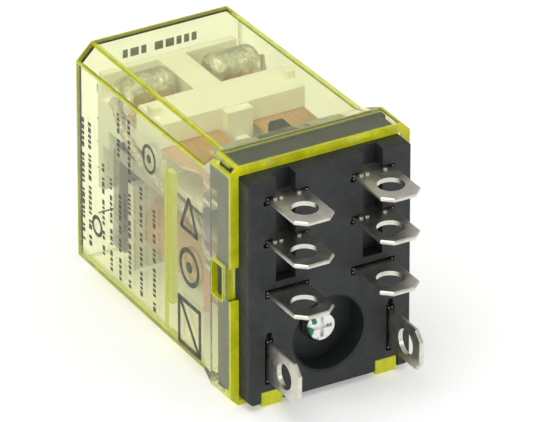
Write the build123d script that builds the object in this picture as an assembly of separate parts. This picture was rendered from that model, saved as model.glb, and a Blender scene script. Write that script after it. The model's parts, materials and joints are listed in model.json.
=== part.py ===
from build123d import *
import os

os.makedirs("parts", exist_ok=True)

# Driving dimensions, mm. X across the width, Y from the seating face into the body, Z up.
W, H, L = 21.0, 27.5, 35.6        # skirt width, skirt height, seating face to the end of the cover
RIM_Y = 2.0                       # the seating plate stands this far ahead of the cover's rim
SKIRT_Y, BODY_Y = 6.1, 8.1        # end of the skirt, end of its ramp
BW, BH = 20.4, 26.15              # cover body behind the ramp
EW, EH = 19.8, 25.5               # cover body at its end
WALL = 0.8
EDGE = 0.25                        # bevel around the end face
PW, PLATE_LO, PLATE_HI = 19.0, -13.13, 12.7
BLADE_W, BLADE_L, BLADE_T, EYE_R, EYE_Y = 4.7, 6.4, 0.5, 1.45, -3.5
COL = 5.03                        # the two columns of contact blades
ROWS = (10.25, 5.34, -0.52)       # contact blade rows
COIL_X, COIL_Z = 7.15, -8.3       # coil blades
AX_Z = -7.05                      # coil axis
HINGE_Y, HINGE_Z = 31.35, 1.55    # armature's knife edge
REST_DEG = 2.4                    # tilt of the open armature
CONTACT_Y = 10.0


def bx(x0, x1, y0, y1, z0, z1):
    """Box from its six limits."""
    return Pos((x0 + x1) / 2, (y0 + y1) / 2, (z0 + z1) / 2) * Box(x1 - x0, y1 - y0, z1 - z0)


def cy_y(x, z, r, y0, y1):
    """Cylinder along Y."""
    return Pos(x, (y0 + y1) / 2, z) * Rot(90, 0, 0) * Cylinder(r, y1 - y0)


def cy_z(x, y, r, z0, z1):
    """Cylinder along Z."""
    return Pos(x, y, (z0 + z1) / 2) * Cylinder(r, z1 - z0)


def cy_x(y, z, r, x0, x1):
    """Cylinder along X."""
    return Pos((x0 + x1) / 2, y, z) * Rot(0, 90, 0) * Cylinder(r, x1 - x0)


def octo(y, hw, top, bot, ct, cb):
    """Eight-cornered section in the plane at y: half width, top and bottom heights, corner cuts."""
    pts = [(-hw, top - ct), (-hw + ct, top), (hw - ct, top), (hw, top - ct),
           (hw, bot + cb), (hw - cb, bot), (-hw + cb, bot), (-hw, bot + cb)]
    return Face(Wire.make_polygon([Vector(a, y, b) for a, b in pts], close=True))


def save(shape, name):
    export_step(shape, "parts/" + name + ".step")


# ---------------------------------------------------------------- cover
outer = loft([octo(BODY_Y, BW / 2, BH / 2, -BH / 2, 1.83, 0.85), octo(L - EDGE, EW / 2, EH / 2, -EH / 2, 1.83, 0.85)])
end_bevel = loft([octo(L - EDGE, EW / 2, EH / 2, -EH / 2, 1.83, 0.85),
                  octo(L, EW / 2 - EDGE, EH / 2 - EDGE, -EH / 2 + EDGE, 1.83 - 0.1, 0.85 - 0.1)])
skirt = extrude(octo(RIM_Y, W / 2, H / 2, -H / 2, 0.86, 0.86), amount=SKIRT_Y - RIM_Y, dir=(0, 1, 0))
ramp = loft([octo(SKIRT_Y, W / 2, H / 2, -H / 2, 0.86, 0.86), octo(BODY_Y, BW / 2, BH / 2, -BH / 2, 1.83, 0.85)])
cover = outer + end_bevel + skirt + ramp
cav_body = loft([octo(6.6, BW / 2 - WALL, BH / 2 - WALL, -BH / 2 + WALL, 1.45, 0.5),
                 octo(L - WALL - 0.05, EW / 2 - WALL, EH / 2 - WALL, -EH / 2 + WALL, 1.45, 0.5)])
cav_skirt = bx(-PW / 2 - 0.04, PW / 2 + 0.04, 1.0, 6.7, PLATE_LO - 0.04, PLATE_HI + 0.04)
cover = cover - cav_body - cav_skirt
# latch windows and the notches in the rim in front of them
for s in (-1, 1):
    cover -= bx(min(s * 9.0, s * 11), max(s * 9.0, s * 11), 3.8, 5.9, -2.2, 1.7)
    cover -= bx(min(s * 9.0, s * 11), max(s * 9.0, s * 11), 1.5, 2.75, -1.6, 2.3)
# stiffening ribs inside the side walls
for s in (-1, 1):
    cover += bx(min(s * 8.65, s * 9.6), max(s * 8.65, s * 9.6), 15.35, 16.45, -8.3, 6.9)
# tabs that key into the notches at the bottom of the base
for s in (-1, 1):
    a, b = sorted((s * 5.5, s * 7.95))
    cover += bx(a, b, 0.15, 3.0, -13.5, -11.9)
save(cover, "cover")

# ---------------------------------------------------------------- base
base = bx(-PW / 2, PW / 2, 0, 5.3, PLATE_LO, PLATE_HI)
base = chamfer([e for e in base.edges().filter_by(Axis.Y)], 0.45)
base = fillet([e for e in base.edges() if abs(e.center().Y) < 1e-3], 0.2)
base += bx(-PW / 2, PW / 2, 5.2, 6.55, 9.6, PLATE_HI)
base += bx(-8.0, 8.0, 5.2, 6.9, 3.4, 11.6)                       # block that holds the contact strips
base += bx(-9.3, -8.2, 5.2, 5.9, -2.6, 2.2) + bx(8.2, 9.3, 5.2, 5.9, -2.6, 2.2)
base -= bx(-8.2, 8.2, 3.8, 6.0, -12.5, 3.2)                      # seat of the yoke
# barrier fin between the two poles
fin = bx(-0.6, 0.6, 6.5, 11.6, 3.6, 12.18)
fin = fillet([e for e in fin.edges().filter_by(Axis.X) if e.center().Y > 11 and e.center().Z > 12], 1.1)
base += fin
# round access hole to the core's end
base -= cy_y(0, AX_Z, 4.15, -1, 2.95) + cy_y(0, AX_Z, 1.78, -1, 4.5)   # its floor is pierced for the screw
base = chamfer([e for e in base.edges().filter_by(GeomType.CIRCLE) if abs(e.center().Y) < 1e-3 and abs(e.radius - 4.15) < 1e-3], 0.25)
# channels behind the two upper rows
base -= bx(-6.34, -4.06, -1, 1.5, 0.7, 14)
base -= bx(3.84, 6.14, -1, 1.5, 0.7, 14)
# pockets around the blade roots, and through slots
for s in (-1, 1):
    c = s * COL
    for z in ROWS[:2]:
        base -= bx(c - 2.5, c + 2.5, -1, 0.5, z - 0.45, z + 0.45)
        base -= bx(c - 2.37, c + 2.37, -1, 7.5, z - 0.27, z + 0.27)
    base -= bx(c - 2.55, c + 2.55, -1, 0.8, ROWS[2] - 0.5, ROWS[2] + 0.5)
    base -= bx(c - 2.37, c + 2.37, -1, 4.5, ROWS[2] - 0.27, ROWS[2] + 0.27)
    k = s * COIL_X
    base -= bx(k - 0.48, k + 0.48, -1, 0.8, COIL_Z - 2.7, COIL_Z + 2.7)
    base -= bx(k - 0.27, k + 0.27, -1, 4.5, COIL_Z - 2.37, COIL_Z + 2.37)
    base -= cy_y(k, COIL_Z + 3.0, 0.35, -1, 0.6)
    # side gap for the tongue of the common strip behind the plate
    a, b = sorted((s * 7.2, s * 9.1))
    base -= bx(a, b, 2.2, 6.0, ROWS[2] - 0.27, ROWS[2] + 0.27)
    # latch teeth in the windows of the cover
    a, b = sorted((s * 9.2, s * 10.15))
    tooth = bx(a, b, 4.0, 5.25, -2.0, 1.5)
    tooth = chamfer([e for e in tooth.edges().filter_by(Axis.Z) if abs(abs(e.center().X) - 10.15) < 1e-3 and e.center().Y < 4.5], 0.7)
    base += tooth
for x, z in ((-7.5, 10.0), (-7.5, 5.16), (2.65, 10.0), (2.67, 5.16)):
    base -= cy_y(x, z, 0.32, -1, 0.4)
# notches that take the tabs of the cover
for x0, x1 in ((-8.1, -5.34), (5.34, 8.1)):
    base -= bx(x0, x1, -1, 3.1, -14, -11.75)
save(base, "base")


# ---------------------------------------------------------------- plug blades
def blade_plate(inner):
    """Blade lying flat in X-Y, centred on x=0, thickness along Z; inner is the strip behind y=0."""
    h, t = BLADE_W / 2, BLADE_T / 2
    pts = [(-h, 0.0), (-h, -BLADE_L + 1.0), (-1.25, -BLADE_L), (1.25, -BLADE_L), (h, -BLADE_L + 1.0), (h, 0.0)]
    f = Face(Wire.make_polygon([Vector(a, b, -t) for a, b in pts], close=True))
    b = extrude(f, amount=BLADE_T, dir=(0, 0, 1))
    rim = [e for e in b.edges() if abs(abs(e.center().Z) - t) < 1e-6 and e.center().Y < -0.01]
    b = chamfer(rim, 0.13)
    b = b - cy_z(0, EYE_Y, EYE_R, -2, 2)
    return b + inner


strip = bx(-2.35, 2.35, -0.01, 7.0, -0.25, 0.25) + bx(-2.0, 2.0, 6.9, 11.6, -0.25, 0.25)
strip -= cy_z(0, CONTACT_Y, 0.7, -1, 1)
# small staking burrs beside the root
burr = cy_z(-1.6, -0.3, 0.24, 0.2, 0.42) + cy_z(-0.9, -0.3, 0.24, 0.2, 0.42) + cy_z(1.2, -0.3, 0.24, 0.2, 0.42)
contact_strip = blade_plate(strip) + burr
names = {(-1, 0): "terminal_4", (1, 0): "terminal_1", (-1, 1): "terminal_8", (1, 1): "terminal_5",
         (-1, 2): "terminal_12", (1, 2): "terminal_9"}
for s in (-1, 1):
    for r in (0, 1):
        save(Pos(s * COL, 0, ROWS[r]) * contact_strip, names[(s, r)])
    a, b = sorted((s * 2.35, -s * 2.35))
    c, d = sorted((s * 1.0, s * (8.95 - COL)))
    e, f = sorted((s * (7.45 - COL), s * (8.95 - COL)))
    common = blade_plate(bx(a, b, -0.01, 3.6, -0.25, 0.25) + bx(c, d, 2.3, 3.6, -0.25, 0.25)
                         + bx(e, f, 2.3, 8.8, -0.25, 0.25))
    save(Pos(s * COL, 0, ROWS[2]) * common, names[(s, 2)])
# coil blades stand upright
coil_blade = blade_plate(bx(-2.35, 2.35, -0.01, 3.5, -0.25, 0.25) + bx(-1.0, 1.0, 3.4, 8.2, -0.25, 0.25))
for s, n in ((-1, "terminal_14"), (1, "terminal_13")):
    save(Pos(s * COIL_X, 0, COIL_Z) * Rot(0, 90, 0) * coil_blade, n)

# ---------------------------------------------------------------- fixed contacts, riveted through the strips
for s, n in ((-1, "left"), (1, "right")):
    x = s * COL
    up = cy_z(x, CONTACT_Y, 1.4, 9.35, 9.98) + cy_z(x, CONTACT_Y, 0.68, 9.9, 10.52) + cy_z(x, CONTACT_Y, 1.05, 10.51, 10.75)
    save(up, "upper_fixed_contact_" + n)
    lo = cy_z(x, CONTACT_Y, 1.4, 5.61, 6.40) + cy_z(x, CONTACT_Y, 0.68, 5.0, 5.7) + cy_z(x, CONTACT_Y, 1.05, 4.84, 5.08)
    save(lo, "lower_fixed_contact_" + n)

# ---------------------------------------------------------------- magnet: yoke, core, core screw, shading ring
yoke = bx(-6.6, 6.6, 3.85, 5.25, -11.6, 2.3) + bx(-7.0, 7.0, 3.85, HINGE_Y - 0.05, 0.8, 2.3)
yoke = fillet([e for e in yoke.edges().filter_by(Axis.X) if e.center().Y < 3.9 and e.center().Z > 2.2], 1.0)
yoke -= cy_y(0, AX_Z, 1.55, 3, 6)
yoke -= cy_z(0, 22.2, 0.45, 0, 4)                                 # hole of the spring's fixed hook
save(yoke, "yoke")
core = cy_y(0, AX_Z, 2.9, 5.27, 30.1) + cy_y(0, AX_Z, 3.95, 30.0, 31.3)
core -= cy_y(0, AX_Z, 1.1, 4.0, 10.5)
groove = cy_y(0, AX_Z - 1.2, 2.3, 30.65, 32) - cy_y(0, AX_Z - 1.2, 1.6, 30, 33)
core -= groove
save(core, "core")
ring = cy_y(0, AX_Z - 1.2, 2.27, 30.7, 31.27) - cy_y(0, AX_Z - 1.2, 1.63, 30, 33)
save(ring, "shading_ring")
screw = cy_y(0, AX_Z, 1.7, 1.6, 3.82) + cy_y(0, AX_Z, 1.07, 3.8, 9.8)
screw = chamfer([e for e in screw.edges().filter_by(GeomType.CIRCLE) if abs(e.center().Y - 1.6) < 1e-3], 0.22)
screw -= bx(-1.15, 1.15, 1.0, 2.1, AX_Z - 0.2, AX_Z + 0.2) + bx(-0.2, 0.2, 1.0, 2.1, AX_Z - 1.15, AX_Z + 1.15)
save(screw, "core_screw")

# ---------------------------------------------------------------- bobbin, winding, tape, coil ends
bobbin = cy_y(0, AX_Z, 3.55, 5.3, 29.95)
bobbin += bx(-6.3, 6.3, 5.3, 6.3, -11.75, -1.7) + bx(-6.3, 6.3, 28.9, 29.95, -11.6, -1.7)
bobbin -= cy_y(0, AX_Z, 2.95, 5, 31)
for s in (-1, 1):
    bobbin -= cy_y(s * 5.55, AX_Z + 1.2, 0.3, 5, 7)
save(bobbin, "bobbin")
winding = cy_y(0, AX_Z, 4.75, 6.33, 28.87) - cy_y(0, AX_Z, 3.58, 6, 30)
save(winding, "coil_winding")
tape = cy_y(0, AX_Z, 4.88, 15.4, 28.8) - cy_y(0, AX_Z, 4.77, 15, 29)
save(tape, "coil_tape")
for s, n in ((-1, "left"), (1, "right")):
    path = Spline([Vector(s * 4.35, 6.75, AX_Z + 2.2), Vector(s * 5.45, 7.3, AX_Z + 1.7), Vector(s * 6.1, 7.5, AX_Z - 0.2), Vector(s * 6.83, 7.2, COIL_Z + 0.1)])
    wire = sweep(Plane(origin=path @ 0, z_dir=path % 0) * Circle(0.11), path=path)
    save(wire, "coil_lead_" + n)

# ---------------------------------------------------------------- armature, drawn closed on the pole and then tilted to rest
arm = bx(-6.5, 6.5, HINGE_Y, HINGE_Y + 1.2, -11.2, 4.4)
arm = chamfer([e for e in arm.edges().filter_by(Axis.Y)], 0.8)
arm -= bx(-0.35, 0.35, HINGE_Y - 1, HINGE_Y + 3, 3.3, 4.0)        # eye of the spring's moving hook
tilt = Pos(0, HINGE_Y, HINGE_Z) * Rot(REST_DEG, 0, 0) * Pos(0, -HINGE_Y, -HINGE_Z)
save(tilt * arm, "armature")

# ---------------------------------------------------------------- contact carrier, moulded on the armature's tail
car = bx(-8.25, 8.25, 19.4, 24.5, 6.3, 10.0)
car += bx(-7.75, 7.75, 24.4, 33.7, 5.0, 7.2)
car += bx(-1.6, 1.6, 24.4, 33.7, 7.0, 9.6)
car += bx(-1.5, 1.5, 18.3, 19.5, 3.1, 9.8)
car += bx(-0.7, 0.7, 12.6, 18.4, 3.1, 6.9)                       # web between the two springs
car += bx(-7.3, 7.3, 12.6, 24.5, 3.1, 3.9) + bx(-7.3, 7.3, 20.0, 24.5, 3.8, 6.4)   # tray over the yoke
car += bx(-7.75, 7.75, 32.75, 33.7, -3.5, 9.6)
car += bx(-7.75, -6.75, 31.4, 33.7, 1.8, 6.0) + bx(6.75, 7.75, 31.4, 33.7, 1.8, 6.0)
car += bx(-7.75, -6.6, 28.5, 33.7, 4.0, 6.0) + bx(6.6, 7.75, 28.5, 33.7, 4.0, 6.0)
for s in (-1, 1):
    a, b = sorted((s * 7.3, s * 8.25))
    car += bx(a, b, 21.4, 22.7, 9.9, 10.9)                        # locating pegs
    car -= bx(s * COL - 3.17, s * COL + 3.17, 19.0, 25.0, 7.22, 7.58)
    car -= bx(s * COL - 3.17, s * COL + 3.17, 24.5, 31.6, 7.0, 7.58)
car -= bx(-1.3, 1.3, 21.8, 31.0, 3.0, 5.3)                       # room for the return spring
# the armature's tail sits in a slot
slot = tilt * bx(-6.52, 6.52, HINGE_Y - 0.3, HINGE_Y + 1.23, -12, 4.43)
car -= slot
save(car, "contact_carrier")

# ---------------------------------------------------------------- leaf springs, moving contacts, solder domes
leaf_pts = [(-2.85, 31.3), (-2.85, 24.6), (-3.15, 24.3), (-3.15, 15.4), (-2.1, 13.4), (-2.1, 9.0), (-1.4, 8.3), (1.4, 8.3), (2.1, 9.0), (2.1, 13.4), (3.15, 15.4), (3.15, 24.3), (2.85, 24.6), (2.85, 31.3)]
leaf = extrude(Face(Wire.make_polygon([Vector(a, b, 7.25) for a, b in leaf_pts], close=True)), amount=0.3, dir=(0, 0, 1))
leaf -= cy_z(0, CONTACT_Y, 0.7, 6, 9)
dome = bx(-2.95, 2.95, 27.3, 31.0, 7.58, 10.6)
dome = fillet([e for e in dome.edges() if e.center().Z > 10.5 and abs(e.center().X) < 0.1], 1.75)
dome = fillet([e for e in dome.edges() if e.center().Z > 8.0 and abs(abs(e.center().X) - 2.95) < 0.01], 1.0)
mc = cy_z(0, CONTACT_Y, 1.35, 7.57, 8.35) + cy_z(0, CONTACT_Y, 0.68, 7.0, 7.7) + cy_z(0, CONTACT_Y, 1.35, 6.45, 7.23)
for s, n in ((-1, "left"), (1, "right")):
    save(Pos(s * COL, 0, 0) * leaf, "leaf_spring_" + n)
    save(Pos(s * COL, 0, 0) * dome, "solder_dome_" + n)
    save(Pos(s * COL, 0, 0) * mc, "moving_contact_" + n)

# ---------------------------------------------------------------- flexible leads from the domes to the common strips
for s, n in ((-1, "left"), (1, "right")):
    path = Spline([Vector(s * 8.43, 28.9, 9.2), Vector(s * 8.4, 27.6, 6.6), Vector(s * 8.2, 22.5, 3.9), Vector(s * 7.85, 16.0, 2.6), Vector(s * 7.95, 10.5, 0.9), Vector(s * 8.2, 7.6, 0.2)],
                  tangents=[Vector(0, -0.2, -1), Vector(0, -1, -0.1)])
    lead = sweep(Plane(origin=path @ 0, z_dir=path % 0) * Circle(0.42), path=path)
    save(lead, "pole_lead_" + n)

# ---------------------------------------------------------------- return spring between the yoke and the armature's tail
y0, y1, zc, rr, wr = 23.2, 30.2, 3.95, 0.85, 0.16
helix = Pos(0, y0, zc) * Rot(-90, 0, 0) * Helix(pitch=0.5, height=y1 - y0, radius=rr)
spring = sweep(Plane(origin=helix @ 0, z_dir=helix % 0) * Circle(wr), path=helix)
save(spring, "return_spring")
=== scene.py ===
import bpy, math, json, random
from mathutils import Matrix, Vector


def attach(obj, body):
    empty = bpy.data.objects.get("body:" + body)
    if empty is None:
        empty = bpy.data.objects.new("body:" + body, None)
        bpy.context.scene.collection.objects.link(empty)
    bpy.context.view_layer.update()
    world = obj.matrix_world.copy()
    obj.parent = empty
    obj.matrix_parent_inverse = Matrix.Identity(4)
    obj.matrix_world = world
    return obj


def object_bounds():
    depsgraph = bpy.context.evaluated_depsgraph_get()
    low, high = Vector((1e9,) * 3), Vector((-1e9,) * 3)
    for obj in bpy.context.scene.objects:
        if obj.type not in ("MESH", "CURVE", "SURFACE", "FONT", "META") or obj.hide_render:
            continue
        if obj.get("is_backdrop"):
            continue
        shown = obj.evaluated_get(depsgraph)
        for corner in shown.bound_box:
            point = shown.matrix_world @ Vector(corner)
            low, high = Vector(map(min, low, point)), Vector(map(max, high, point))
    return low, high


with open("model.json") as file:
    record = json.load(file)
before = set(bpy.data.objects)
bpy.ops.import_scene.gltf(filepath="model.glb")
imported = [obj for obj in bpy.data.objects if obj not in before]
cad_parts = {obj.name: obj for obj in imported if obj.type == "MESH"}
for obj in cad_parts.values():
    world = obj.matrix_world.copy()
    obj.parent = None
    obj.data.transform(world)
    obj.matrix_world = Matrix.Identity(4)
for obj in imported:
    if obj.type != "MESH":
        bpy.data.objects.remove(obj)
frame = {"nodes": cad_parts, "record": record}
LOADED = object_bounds()
random.seed(11)
N = frame["nodes"]


# ------------------------------------------------------------------ materials
class Mat:
    """A Principled material with helpers for procedural detail in object space (metres)."""

    def __init__(self, name, color, rough, metallic=0.0, **kw):
        self.m = bpy.data.materials.new(name)
        self.m.use_nodes = True
        self.nt = self.m.node_tree
        self.nt.nodes.clear()
        self.out = self.nt.nodes.new("ShaderNodeOutputMaterial")
        self.b = self.nt.nodes.new("ShaderNodeBsdfPrincipled")
        self.nt.links.new(self.b.outputs[0], self.out.inputs["Surface"])
        self.b.inputs["Base Color"].default_value = (*color, 1)
        self.b.inputs["Roughness"].default_value = rough
        self.b.inputs["Metallic"].default_value = metallic
        for k, v in kw.items():
            self.b.inputs[k.replace("_", " ")].default_value = v
        self.tc = self.nt.nodes.new("ShaderNodeTexCoord")
        self.bump_out = None

    def node(self, kind, **vals):
        n = self.nt.nodes.new(kind)
        for k, v in vals.items():
            setattr(n, k, v)
        return n

    def link(self, a, b):
        self.nt.links.new(a, b)

    def stretch(self, scale):
        mp = self.node("ShaderNodeMapping")
        mp.inputs["Scale"].default_value = scale
        self.link(self.tc.outputs["Object"], mp.inputs["Vector"])
        return mp.outputs[0]

    def noise(self, scale, detail=4.0, rough=0.55, vec=None, distortion=0.0):
        n = self.node("ShaderNodeTexNoise")
        n.inputs["Scale"].default_value = scale
        n.inputs["Detail"].default_value = detail
        n.inputs["Roughness"].default_value = rough
        n.inputs["Distortion"].default_value = distortion
        self.link(vec or self.tc.outputs["Object"], n.inputs["Vector"])
        return n.outputs["Fac"]

    def ramp(self, src, stops):
        r = self.node("ShaderNodeValToRGB")
        el = r.color_ramp.elements
        el[0].position, el[0].color = stops[0][0], (*stops[0][1], 1)
        el[1].position, el[1].color = stops[-1][0], (*stops[-1][1], 1)
        for p, c in stops[1:-1]:
            e = el.new(p)
            e.color = (*c, 1)
        self.link(src, r.inputs[0])
        return r.outputs[0]

    def span(self, src, lo, hi, a=0.0, b=1.0):
        r = self.node("ShaderNodeMapRange")
        for k, v in (("From Min", a), ("From Max", b), ("To Min", lo), ("To Max", hi)):
            r.inputs[k].default_value = v
        self.link(src, r.inputs["Value"])
        return r.outputs[0]

    def color(self, src):
        self.link(src, self.b.inputs["Base Color"])

    def rough(self, src):
        self.link(src, self.b.inputs["Roughness"])

    def bump(self, src, strength, distance):
        n = self.node("ShaderNodeBump")
        n.inputs["Strength"].default_value = strength
        n.inputs["Distance"].default_value = distance
        self.link(src, n.inputs["Height"])
        if self.bump_out:
            self.link(self.bump_out, n.inputs["Normal"])
        self.bump_out = n.outputs[0]
        self.link(self.bump_out, self.b.inputs["Normal"])

    def mix(self, fac, a, b):
        n = self.node("ShaderNodeMix", data_type="RGBA")
        if isinstance(fac, float):
            n.inputs["Factor"].default_value = fac
        else:
            self.link(fac, n.inputs["Factor"])
        for sock, v in ((n.inputs[6], a), (n.inputs[7], b)):
            if isinstance(v, tuple):
                sock.default_value = (*v, 1)
            else:
                self.link(v, sock)
        return n.outputs[2]


def cover_material():
    """Clear tinted plastic: glass with absorption, plus a painted glow along its edges, rim, ribs and tabs. The glow is
    an opaque yellow layer with emission that paints the light gathering there.
    """
    m = Mat("clear_yellow_cover", (1.0, 1.0, 1.0), 0.02, IOR=1.47, Transmission_Weight=1.0)
    m.rough(m.span(m.noise(260, 3), 0.012, 0.05))
    m.bump(m.noise(90, 2, 0.4), 0.05, 0.0002)
    v = m.node("ShaderNodeVolumeAbsorption")
    v.inputs["Color"].default_value = (0.925, 0.985, 0.0, 1)
    v.inputs["Density"].default_value = 265.0
    m.link(v.outputs[0], m.out.inputs["Volume"])

    def f(op, a, b=0.0, c=0.0):
        n = m.node("ShaderNodeMath", operation=op)
        for i, val in enumerate((a, b, c)):
            if isinstance(val, (int, float)):
                n.inputs[i].default_value = val
            else:
                m.link(val, n.inputs[i])
        return n.outputs[0]

    sep = m.node("ShaderNodeSeparateXYZ")
    m.link(m.tc.outputs["Object"], sep.inputs[0])
    X = f("MULTIPLY", f("ABSOLUTE", sep.outputs[0]), 1000.0)
    Y = f("MULTIPLY", sep.outputs[1], 1000.0)
    Z = f("MULTIPLY", sep.outputs[2], 1000.0)
    T = f("DIVIDE", f("SUBTRACT", Y, 8.1), 27.25)
    hw = f("SUBTRACT", 10.2, f("MULTIPLY", T, 0.3))
    top = f("SUBTRACT", 13.075, f("MULTIPLY", T, 0.325))

    def fade(src, near, far):
        """1 where src is below near, 0 above far."""
        return m.span(src, 1.0, 0.0, near, far)

    def line(ax, az, near=0.1, far=0.36):
        dx, dz = f("SUBTRACT", X, ax), f("SUBTRACT", Z, az)
        return fade(f("SQRT", f("ADD", f("MULTIPLY", dx, dx), f("MULTIPLY", dz, dz))), near, far)

    def both(a, b):
        return f("MULTIPLY", a, b)

    def either(*a):
        r = a[0]
        for x in a[1:]:
            r = f("MAXIMUM", r, x)
        return r

    body = f("GREATER_THAN", Y, 7.9)
    low = f("MULTIPLY", top, -1.0)
    long_lines = both(body, either(line(hw, f("SUBTRACT", top, 1.83)), line(f("SUBTRACT", hw, 1.83), top, 0.14, 0.42),
                                   f("MULTIPLY", line(hw, f("ADD", low, 0.85), 0.3, 1.5), 0.6), f("MULTIPLY", line(f("SUBTRACT", hw, 0.85), low, 0.3, 1.3), 0.6)))
    skirt = f("LESS_THAN", Y, 6.3)
    skirt_lines = both(skirt, either(line(10.5, 12.89, 0.16, 0.45), line(9.64, 13.75, 0.16, 0.45), line(10.5, -12.89, 0.16, 0.26), line(9.64, -13.75, 0.16, 0.26)))
    # painted glow masks: the end wall's outline, the rim's front, the step behind the skirt, ribs and tabs
    edge_out = either(m.span(f("SUBTRACT", hw, X), 1.0, 0.0, 0.15, 0.5), m.span(f("SUBTRACT", top, f("ABSOLUTE", Z)), 1.0, 0.0, 0.15, 0.5),
                      m.span(f("SUBTRACT", f("ADD", hw, f("SUBTRACT", top, 1.83)), f("ADD", X, Z)), 1.0, 0.0, 0.15, 0.6))
    end_rim = both(m.span(Y, 0.0, 1.0, 34.95, 35.25), edge_out)
    skin = either(m.span(f("SUBTRACT", hw, X), 1.0, 0.0, 0.03, 0.1), m.span(f("SUBTRACT", top, f("ABSOLUTE", Z)), 1.0, 0.0, 0.03, 0.1),
                  m.span(f("SUBTRACT", f("ADD", hw, f("SUBTRACT", top, 1.83)), f("ADD", X, Z)), 1.0, 0.0, 0.03, 0.15))
    end_wall = both(skin, f("MULTIPLY", m.span(Y, 0.0, 1.0, 34.5, 34.8), 0.5))
    rim = m.span(Y, 1.0, 0.0, 2.2, 2.45)
    step = fade(f("ABSOLUTE", f("SUBTRACT", Y, 6.1)), 0.08, 0.3)
    step2 = fade(f("ABSOLUTE", f("SUBTRACT", Y, 8.1)), 0.05, 0.28)
    rib = both(both(f("LESS_THAN", X, 9.3), f("GREATER_THAN", X, 8.3)), both(both(f("GREATER_THAN", Y, 15.0), f("LESS_THAN", Y, 16.9)), f("LESS_THAN", Z, 7.2)))
    window = both(both(f("GREATER_THAN", Y, 3.65), f("LESS_THAN", Y, 6.05)), both(f("GREATER_THAN", Z, -2.35), f("LESS_THAN", Z, 1.85)))
    tabs = both(f("LESS_THAN", Y, 3.2), f("LESS_THAN", Z, -12.0))
    level = f("GREATER_THAN", f("ABSOLUTE", Z), 12.4)
    # where the painted glow (painted light along edges) is mixed over the glass
    painted_glow_mask = either(long_lines, skirt_lines, end_rim, end_wall, rim, both(level, f("MULTIPLY", step, 0.6)), both(level, f("MULTIPLY", step2, 0.3)), rib, window, tabs)
    vary = m.span(m.noise(300, 3), 0.82, 1.0, 0.3, 0.7)
    painted_glow_amount = f("MULTIPLY", f("MULTIPLY", painted_glow_mask, vary), 0.92)
    # painted glow: an opaque yellow surface with emission, a painted light that is strongest on the rib
    painted_glow = m.node("ShaderNodeBsdfPrincipled")
    painted_glow.inputs["Roughness"].default_value = 0.25
    # colour of the painted glow, with random tone, darker on the rib
    painted_glow_tone = m.ramp(m.noise(700, 4), [(0.35, (0.48, 0.50, 0.003)), (0.7, (0.68, 0.70, 0.004))])
    m.link(m.mix(rib, painted_glow_tone, (0.42, 0.43, 0.0)), painted_glow.inputs["Base Color"])
    painted_glow.inputs["Emission Color"].default_value = (0.6, 0.63, 0.01, 1)
    m.link(m.span(rib, 0.12, 0.34), painted_glow.inputs["Emission Strength"])
    if m.bump_out:
        m.link(m.bump_out, painted_glow.inputs["Normal"])
    mixs = m.node("ShaderNodeMixShader")
    m.link(painted_glow_amount, mixs.inputs[0])
    m.link(m.b.outputs[0], mixs.inputs[1])
    m.link(painted_glow.outputs[0], mixs.inputs[2])
    m.link(mixs.outputs[0], m.out.inputs["Surface"])
    return m.m


def base_material():
    m = Mat("black_base", (0.03, 0.034, 0.038), 0.5)
    m.color(m.ramp(m.noise(420, 5, 0.6), [(0.3, (0.010, 0.0122, 0.0132)), (0.7, (0.021, 0.0245, 0.026))]))
    m.rough(m.span(m.noise(900, 4), 0.38, 0.62, 0.3, 0.7))
    m.bump(m.noise(5200, 3, 0.6), 0.16, 0.00006)
    m.bump(m.noise(240, 2, 0.5), 0.08, 0.0003)
    return m.m


def tin_material():
    m = Mat("tinned_brass", (0.62, 0.6, 0.52), 0.3, 1.0)
    fine = m.noise(1.0, 5, 0.6, m.stretch((5200, 620, 5200)))
    cloud = m.noise(620, 5, 0.65)
    c1 = m.ramp(cloud, [(0.25, (0.5, 0.48, 0.41)), (0.5, (0.68, 0.66, 0.58)), (0.75, (0.8, 0.78, 0.7))])
    spots = m.ramp(m.noise(2300, 3, 0.7), [(0.66, (1, 1, 1)), (0.85, (0.7, 0.67, 0.58))])
    mul = m.node("ShaderNodeMix", data_type="RGBA", blend_type="MULTIPLY")
    mul.inputs["Factor"].default_value = 0.8
    m.link(c1, mul.inputs[6]); m.link(spots, mul.inputs[7])
    m.color(mul.outputs[2])
    m.rough(m.span(cloud, 0.24, 0.42, 0.25, 0.75))
    m.bump(fine, 0.06, 0.00002)
    m.bump(m.noise(500, 2, 0.4), 0.08, 0.00006)
    return m.m


def steel_material(name, color, lo, hi, streak=(900, 900, 7000)):
    m = Mat(name, color, 0.35, 1.0)
    cl = m.noise(380, 5, 0.6)
    d = tuple(c * 0.72 for c in color)
    m.color(m.ramp(cl, [(0.3, d), (0.7, color)]))
    m.rough(m.span(m.noise(1.0, 4, 0.6, m.stretch(streak)), lo, hi, 0.25, 0.75))
    m.bump(m.noise(1.0, 4, 0.6, m.stretch(streak)), 0.12, 0.00005)
    return m.m


def screw_material():
    m = Mat("screw_steel", (0.8, 0.8, 0.78), 0.25, 1.0)
    mask = m.ramp(m.noise(430, 2, 0.5, distortion=1.1), [(0.53, (0, 0, 0)), (0.58, (1, 1, 1))])
    m.color(m.mix(mask, (0.86, 0.86, 0.84), (0.05, 0.22, 0.13)))
    m.rough(m.span(m.noise(1600, 4), 0.2, 0.5))
    m.bump(m.noise(1500, 4), 0.35, 0.0001)
    return m.m


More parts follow.
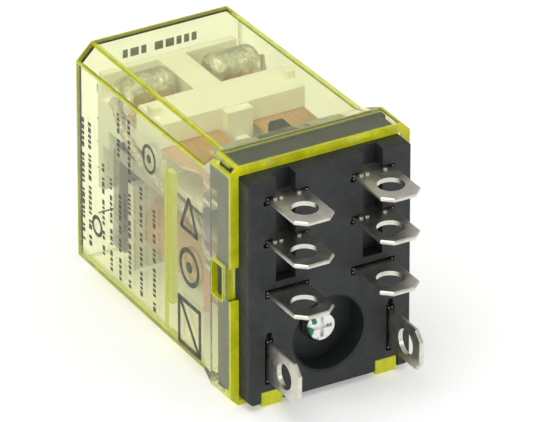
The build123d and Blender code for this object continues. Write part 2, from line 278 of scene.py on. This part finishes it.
def copper_wire_material():
    m = Mat("copper_wire", (0.72, 0.33, 0.12), 0.32, 0.75, Coat_Weight=0.4, Coat_Roughness=0.15)
    w = m.node("ShaderNodeTexWave", wave_type="BANDS", bands_direction="Y", wave_profile="SIN")
    w.inputs["Scale"].default_value = 1500
    w.inputs["Distortion"].default_value = 0.6
    w.inputs["Detail"].default_value = 2.0
    m.link(m.tc.outputs["Object"], w.inputs["Vector"])
    m.color(m.mix(w.outputs["Fac"], (0.5, 0.2, 0.06), (0.9, 0.46, 0.16)))
    m.bump(w.outputs["Fac"], 0.5, 0.00012)
    m.bump(m.noise(500, 3), 0.2, 0.0002)
    return m.m


def copper_sheet_material(name, base, lo):
    m = Mat(name, base, 0.3, 0.9)
    s = m.noise(1.0, 5, 0.6, m.stretch((4200, 260, 4200)))
    m.color(m.ramp(s, [(0.25, tuple(c * 0.78 for c in base)), (0.6, base), (0.85, tuple(min(1, c * 1.12) for c in base))]))
    m.rough(m.span(m.noise(520, 4), lo, lo + 0.25))
    m.bump(s, 0.14, 0.00005)
    return m.m


def braid_material():
    m = Mat("copper_braid", (0.7, 0.67, 0.56), 0.5, 0.5)
    v = m.node("ShaderNodeTexVoronoi")
    v.inputs["Scale"].default_value = 5200
    m.link(m.stretch((1, 0.45, 0.45)), v.inputs["Vector"])
    m.color(m.ramp(v.outputs["Distance"], [(0.05, (0.85, 0.82, 0.7)), (0.6, (0.52, 0.46, 0.34))]))
    m.bump(v.outputs["Distance"], 0.6, 0.0001)
    return m.m


def plastic_material(name, a, b, rough, sub=0.0, grain=3800):
    m = Mat(name, b, rough, 0.0, Subsurface_Weight=sub, Subsurface_Scale=0.0012)
    m.b.inputs["Subsurface Radius"].default_value = (1.0, 0.8, 0.4)
    m.color(m.ramp(m.noise(210, 4, 0.55), [(0.3, a), (0.7, b)]))
    m.rough(m.span(m.noise(1200, 3), rough - 0.1, rough + 0.12))
    m.bump(m.noise(grain, 3), 0.1, 0.00005)
    m.bump(m.noise(160, 2), 0.08, 0.0003)
    return m.m


def tape_material():
    m = Mat("coil_tape", (0.6, 0.36, 0.13), 0.35, 0.0, Coat_Weight=0.3, Coat_Roughness=0.2)
    w = m.node("ShaderNodeTexWave", wave_type="BANDS", bands_direction="Y")
    w.inputs["Scale"].default_value = 700
    w.inputs["Distortion"].default_value = 1.5
    m.link(m.tc.outputs["Object"], w.inputs["Vector"])
    m.color(m.mix(w.outputs["Fac"], (0.5, 0.28, 0.1), (0.7, 0.42, 0.16)))
    m.bump(w.outputs["Fac"], 0.15, 0.0001)
    m.bump(m.noise(300, 3), 0.25, 0.0002)
    return m.m


def solder_material():
    m = Mat("solder", (0.6, 0.58, 0.5), 0.28, 1.0)
    n = m.noise(900, 6, 0.7, distortion=0.8)
    m.color(m.ramp(n, [(0.3, (0.5, 0.49, 0.36)), (0.52, (0.76, 0.75, 0.62)), (0.7, (0.97, 0.97, 0.93))]))
    m.rough(m.span(n, 0.42, 0.08, 0.3, 0.7))
    m.bump(n, 0.75, 0.0004)
    m.bump(m.noise(2600, 4), 0.4, 0.0001)
    return m.m


def silver_material():
    m = Mat("silver_contact", (0.86, 0.85, 0.82), 0.22, 1.0)
    n = m.noise(1300, 4)
    m.color(m.ramp(n, [(0.3, (0.62, 0.6, 0.56)), (0.7, (0.9, 0.89, 0.86))]))
    m.rough(m.span(n, 0.15, 0.4))
    m.bump(n, 0.2, 0.00008)
    return m.m


def ink_material():
    m = Mat("print_ink", (0.06, 0.065, 0.05), 0.6)
    m.color(m.ramp(m.noise(1500, 4), [(0.35, (0.045, 0.05, 0.035)), (0.7, (0.13, 0.14, 0.1))]))
    m.bump(m.noise(4000, 3), 0.2, 0.00004)
    return m.m


M = {
    "clear_yellow_cover": cover_material(), "black_base": base_material(), "tinned_brass": tin_material(),
    "silver_contact": silver_material(),
    "magnet_steel": steel_material("magnet_steel", (0.5, 0.49, 0.45), 0.28, 0.55, (900, 7000, 900)),
    "armature_steel": steel_material("armature_steel", (0.46, 0.45, 0.42), 0.28, 0.55),
    "screw_steel": screw_material(), "spring_steel": steel_material("spring_steel", (0.6, 0.6, 0.6), 0.2, 0.4),
    "white_bobbin": plastic_material("white_bobbin", (0.74, 0.73, 0.62), (0.84, 0.83, 0.73), 0.42, 0.15),
    "cream_carrier": plastic_material("cream_carrier", (0.9, 0.88, 0.7), (0.95, 0.94, 0.8), 0.4, 0.25),
    "copper_wire": copper_wire_material(), "coil_tape": tape_material(), "copper_braid": braid_material(),
    "spring_copper": copper_sheet_material("spring_copper", (0.8, 0.55, 0.34), 0.22), "solder": solder_material(),
}
INK = ink_material()
slot_of = {s["node"]: s["material_slot"] for s in frame["record"]["subparts"]}
for name, o in N.items():
    o.data.materials.clear()
    o.data.materials.append(M[slot_of[name]])
N["cover"].visible_shadow = False


# ------------------------------------------------------------------ printed marks, as thin ink on the cover
MM = 0.001


def side_x(y, s):
    """Outer face of the cover's side wall, mm, with its draft."""
    return s * (10.2 - 0.3 * (y - 8.1) / 27.25)


def slab(quads, thick, normal_of, name):
    """Thin closed slabs from quads of outer-surface points (mm)."""
    vs, fs = [], []
    for q in quads:
        n = normal_of
        b = len(vs)
        vs += [tuple(c * MM for c in p) for p in q]
        vs += [tuple((c + n[i] * thick) * MM for i, c in enumerate(p)) for p in q]
        fs += [(b, b + 1, b + 2, b + 3), (b + 7, b + 6, b + 5, b + 4)]
        for i in range(4):
            j = (i + 1) % 4
            fs.append((b + i, b + 4 + i, b + 4 + j, b + j))
    me = bpy.data.meshes.new(name)
    me.from_pydata(vs, [], fs)
    me.update()
    import bmesh
    bm = bmesh.new(); bm.from_mesh(me)
    bmesh.ops.recalc_face_normals(bm, faces=bm.faces)
    bm.to_mesh(me); bm.free()
    o = bpy.data.objects.new(name, me)
    bpy.context.collection.objects.link(o)
    o.data.materials.append(INK)
    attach(o, "housing")
    return o


GAP = 0.008


def side_quad(s, y0, y1, z0, z1):
    return [(side_x(y, s) + s * GAP, y, z) for y, z in ((y0, z0), (y1, z0), (y1, z1), (y0, z1))]


def side_seg(s, p, q, w):
    """A stroke of width w from p to q in (y, z) on the side wall."""
    d = Vector((q[0] - p[0], q[1] - p[1])).normalized()
    n = Vector((-d.y, d.x)) * w / 2
    pts = [(p[0] + n.x, p[1] + n.y), (p[0] - n.x, p[1] - n.y), (q[0] - n.x, q[1] - n.y), (q[0] + n.x, q[1] + n.y)]
    return [(side_x(y, s) + s * GAP, y, z) for y, z in pts]


def ring(s, yc, zc, ry, rz, w, a0=0, a1=360, n=28):
    out = []
    for i in range(n):
        t0, t1 = (math.radians(a0 + (a1 - a0) * k / n) for k in (i, i + 1))
        out.append([(side_x(yc + r * math.cos(t) * ry, s) + s * GAP, yc + r * math.cos(t) * ry, zc + r * math.sin(t) * rz)
                    for r, t in ((1, t0), (1, t1), (1 - w / ry, t1), (1 - w / ry, t0))])
    return out


def dashes(s, y, z0, z1, h, gap=0.2):
    """A line of plain ink dashes that runs along Z at depth y, grouped as words are."""
    out, z, more = [], z0, random.randint(2, 5)
    while z > z1:
        w = random.choice((0.3, 0.42, 0.42, 0.6))
        out.append(side_quad(s, y - h / 2, y + h / 2, z - w, z))
        z -= w + gap
        more -= 1
        if more == 0:
            z -= 0.5
            more = random.randint(2, 6)
    return out


THICK = 0.012
left = []
for y, z0, z1, h in ((34.0, 5.0, -9.4, 0.62), (32.5, 5.0, -9.8, 0.62), (29.6, 1.5, -9.6, 0.5), (27.9, 0.6, -10.2, 0.5), (26.2, 9.0, 4.2, 0.5),
                     (26.0, -0.5, -10.4, 0.5), (23.9, 9.2, 2.0, 0.55), (23.9, 0.6, -10.6, 0.55), (21.4, 2.6, -10.6, 0.55), (18.6, 1.2, -10.8, 0.6)):
    left += dashes(-1, y, z0, z1, h)
slab(left, THICK, (-1, 0, 0), "print_lines_left")
big = []
# a triangle, a ring with a centre dot, and a frame with one diagonal: they stand in the places of approval marks
big += [side_seg(-1, p, q, 0.5) for p, q in (((9.3, 2.3), (12.9, 2.3)), ((9.4, 2.3), (11.1, 6.1)), ((12.8, 2.3), (11.1, 6.1)))]
big += ring(-1, 11.1, -1.9, 2.15, 2.2, 0.55) + ring(-1, 11.1, -1.9, 0.62, 0.62, 0.6, n=14)
big += [side_seg(-1, p, q, 0.55) for p, q in (((8.9, -11.4), (8.9, -6.2)), ((13.3, -11.4), (13.3, -6.2)), ((8.65, -11.4), (13.55, -11.4)), ((8.65, -6.2), (13.55, -6.2)), ((9.1, -11.3), (13.1, -6.3)))]
big += ring(-1, 19.6, 6.7, 1.45, 1.65, 0.34) + ring(-1, 19.6, 6.7, 0.45, 0.5, 0.43, n=12)
big += ring(-1, 31.0, -6.5, 1.15, 1.25, 0.42)
slab(big, THICK, (-1, 0, 0), "print_marks_left")
# end face: two short rows of strokes near the top, as print on the outside
end = []
for z0, x0, x1, h in ((9.3, -4.4, 4.4, 0.95), (6.7, -7.0, 6.4, 0.95)):
    x, more = x0, 3
    while x < x1:
        w = random.choice((0.6, 0.8, 0.8, 1.0))
        end.append([(x, 35.6 + GAP, z0), (x + w, 35.6 + GAP, z0), (x + w, 35.6 + GAP, z0 + h), (x, 35.6 + GAP, z0 + h)])
        x += w + 0.3
        more -= 1
        if more == 0:
            x += 0.7
            more = random.randint(3, 5)
# contact and coil diagram below them: two change-over contacts and a coil box
def es(p, q, w=0.22):
    d = Vector((q[0] - p[0], q[1] - p[1])).normalized()
    n = Vector((-d.y, d.x)) * w / 2
    return [(a, 35.6 + GAP, b) for a, b in ((p[0] + n.x, p[1] + n.y), (p[0] - n.x, p[1] - n.y), (q[0] - n.x, q[1] - n.y), (q[0] + n.x, q[1] + n.y))]
for s in (-1, 1):
    end += [es((s * 7, 3.6), (s * 4.6, 3.6)), es((s * 7, 0.9), (s * 4.6, 0.9)), es((s * 7, -2.2), (s * 5.4, -2.2)), es((s * 5.4, -2.2), (s * 4.3, 0.7)),
            es((s * 7, -7.6), (s * 2.2, -7.6)), es((s * 2.2, -9.0), (s * 2.2, -6.2))]
end += [es((-2.2, -6.2), (2.2, -6.2)), es((-2.2, -9.0), (2.2, -9.0))]
slab(end, THICK, (0, 1, 0), "print_end_face")


# ------------------------------------------------------------------ floor, light, camera
bpy.ops.mesh.primitive_plane_add(size=6, location=(0, 0, -0.01378))
floor = bpy.context.object
floor.name = "floor"
fm = Mat("floor", (0.93, 0.93, 0.93), 0.7, Emission_Color=(1, 1, 1, 1), Emission_Strength=0.27)
fm.color(fm.ramp(fm.noise(40, 3), [(0.3, (0.92, 0.92, 0.92)), (0.7, (0.95, 0.95, 0.95))]))
floor.data.materials.append(fm.m)
floor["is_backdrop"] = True

world = bpy.data.worlds.new("studio")
bpy.context.scene.world = world
world.use_nodes = True
world.node_tree.nodes["Background"].inputs[0].default_value = (1, 1, 1, 1)
world.node_tree.nodes["Background"].inputs[1].default_value = 0.54


def lamp(name, loc, target, size, power, size_y=None):
    d = bpy.data.lights.new(name, "AREA")
    d.energy = power
    d.shape = "RECTANGLE"
    d.size = size
    d.size_y = size_y or size
    o = bpy.data.objects.new(name, d)
    o.location = loc
    o.rotation_euler = (Vector(target) - Vector(loc)).to_track_quat("-Z", "Y").to_euler()
    bpy.context.collection.objects.link(o)
    return o


lamp("key_top", (-0.10, -0.05, 0.42), (0, 0.01, 0), 0.34, 0.72)
lamp("front_left", (-0.42, -0.30, 0.16), (0, 0.01, 0), 0.24, 0.3)
lamp("front_right", (0.30, -0.42, 0.22), (0, 0, 0), 0.16, 0.26)

AZ, EL, ROLL = -0.5226311461, 0.4964090642, 0.000289
right = Vector((math.cos(AZ), math.sin(AZ), 0))
back = Vector((math.sin(AZ) * math.cos(EL), -math.cos(AZ) * math.cos(EL), math.sin(EL)))
up = back.cross(right)
r2 = right * math.cos(ROLL) + up * math.sin(ROLL)
u2 = up * math.cos(ROLL) - right * math.sin(ROLL)
D, TX, TY, F = 0.9, 0.0051424704672, -0.006290125969, 8859.876
pos = back * D - right * TX - up * TY
cam = bpy.data.cameras.new("camera")
cam.sensor_width = 36
cam.lens = F / 559 * 36
cam.clip_start, cam.clip_end = 0.05, 10
co = bpy.data.objects.new("camera", cam)
co.matrix_world = Matrix(((r2.x, u2.x, back.x, pos.x), (r2.y, u2.y, back.y, pos.y), (r2.z, u2.z, back.z, pos.z), (0, 0, 0, 1)))
bpy.context.collection.objects.link(co)
bpy.context.scene.camera = co
bpy.context.scene.view_settings.view_transform = "Standard"

def plain(v):
    """Bounds as plain nested lists of numbers."""
    return float(v) if isinstance(v, (int, float)) else [plain(c) for c in v]


{"loaded": plain(LOADED), "finished": plain(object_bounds())}
